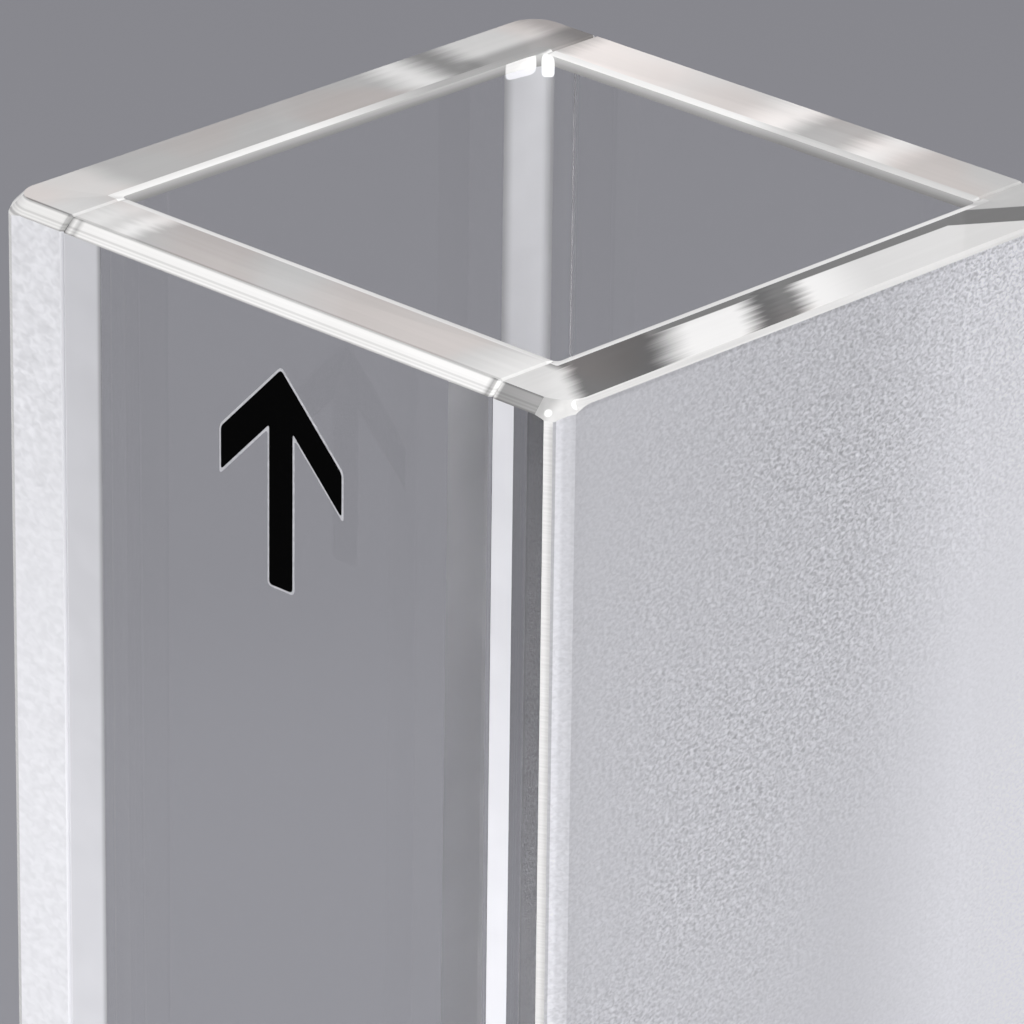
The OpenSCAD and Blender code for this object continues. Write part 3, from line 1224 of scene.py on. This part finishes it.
class CELL_OT_body(bpy.types.Operator):
    """Build the glass body with its windows, ground side, rim and seals"""

    bl_idname = "cell.body"
    bl_label = "Cell Body"

    def execute(self, context):
        finish = context.scene.cell_finish
        grain, streaks, polish, spots = grain_group(), streak_group(), polish_group(), highlights_group()
        materials = [
            polished_material(finish.glass, polish),
            plate_end_material(finish.glass, polish),
            ground_material(finish.ground, finish.ground_clear, grain),
            end_material(finish.end, grain),
            bevel_material(finish.edge, finish.bevel_clear, streaks),
            front_bevel_material(finish.edge * FRONT_BEVEL_SHADE, finish.bevel_clear, streaks),
            corner_material(finish.edge, finish.bevel_clear, grain),
            throat_material(finish.edge, finish.bevel_clear, streaks, spots),
            seal_material(finish.seal, finish.seal_clear, grain),
            fillet_material(finish.seal, finish.seal_clear, grain, spots),
            groove_material(finish.glass * GROOVE_DIM, grain),
        ]
        for name in RIM_REFLECTIONS_AND_SHADE:
            materials.append(rim_material(name, finish.edge, finish.rim_clear, streaks, polish))
        make_body(context.scene.cell_shape, materials)
        return {"FINISHED"}


class CELL_OT_arrow(bpy.types.Operator):
    """Print the arrow that shows which way up the cell stands"""

    bl_idname = "cell.arrow"
    bl_label = "Printed Arrow"

    def execute(self, context):
        arrow = context.scene.cell_arrow
        grain = bpy.data.node_groups["ground_grain"]
        ink = ink_material("mark_ink", arrow.ink, grain)
        pale = ink_material("mark_outline", arrow.pale, grain)
        make_print("arrow_ink", arrow, 0.0, arrow.thickness, ink)
        make_print("arrow_outline", arrow, arrow.outline, arrow.thickness / 2, pale)
        return {"FINISHED"}


class CELL_OT_studio(bpy.types.Operator):
    """Set the plain floor, the soft lamps, the surroundings and the camera"""

    bl_idname = "cell.studio"
    bl_label = "Studio"

    def execute(self, context):
        grey = context.scene.cell_studio.grey
        set_surroundings(grey)
        lay_floor(grey)
        hang_lamps()
        place_camera()
        context.scene.view_settings.view_transform = "Standard"
        return {"FINISHED"}


class CELL_PT_panel(bpy.types.Panel):
    """Lists the steps that build the cell"""

    bl_idname = "CELL_PT_panel"
    bl_label = "Laboratory Cell"
    bl_space_type = "VIEW_3D"
    bl_region_type = "UI"
    bl_category = "Cell"

    def draw(self, context):
        for step in ("cell.body", "cell.arrow", "cell.studio"):
            self.layout.operator(step)


GROUPS = {
    "cell_shape": CellShape,
    "cell_finish": CellFinish,
    "cell_arrow": ArrowShape,
    "cell_studio": Studio,
}
CLASSES = (*GROUPS.values(), CELL_OT_body, CELL_OT_arrow, CELL_OT_studio, CELL_PT_panel)


def register():
    for kind in CLASSES:
        bpy.utils.register_class(kind)
    for name, group in GROUPS.items():
        setattr(bpy.types.Scene, name, PointerProperty(type=group))


def unregister():
    for name in GROUPS:
        delattr(bpy.types.Scene, name)
    for kind in reversed(CLASSES):
        bpy.utils.unregister_class(kind)


def main():
    """Builds the cell and its studio."""
    register()
    bpy.ops.cell.body()
    bpy.ops.cell.arrow()
    bpy.ops.cell.studio()


if __name__ == "__main__":
    main()
